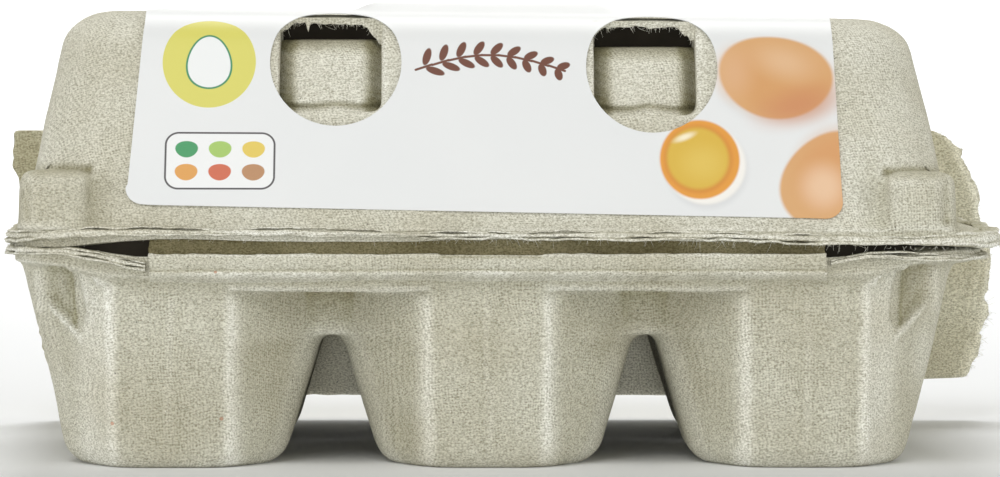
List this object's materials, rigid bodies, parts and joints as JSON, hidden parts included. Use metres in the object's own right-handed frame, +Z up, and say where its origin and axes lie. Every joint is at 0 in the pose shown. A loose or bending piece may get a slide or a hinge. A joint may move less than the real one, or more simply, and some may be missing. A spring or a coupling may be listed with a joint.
{
  "type": "egg carton",
  "caption": "Shut moulded-pulp carton for two rows of eggs, with a tray of tapered cups, a lid with latch holes, a rear hinge panel and a paper label.",
  "frame": {"origin": "bottom centre of the whole carton's box, on the surface that it stands on", "axes": "+X along the carton's long side, -Y towards the latch side with the label's front, +Z up"},
  "size_m": [0.1706, 0.1036, 0.0727],
  "materials": {
    "pulp": "matt grey-beige moulded pulp with a fine mesh imprint and specks",
    "label_paper": "smooth white coated paper with printed fields of colour"
  },
  "bodies": {
    "root": {"base_tray": "pulp", "lid": "pulp", "latch_flap_fold": "pulp", "latch_knob_left": "pulp", "latch_knob_right": "pulp", "hinge_panel": "pulp", "label": "label_paper"}
  },
  "joints": []
}
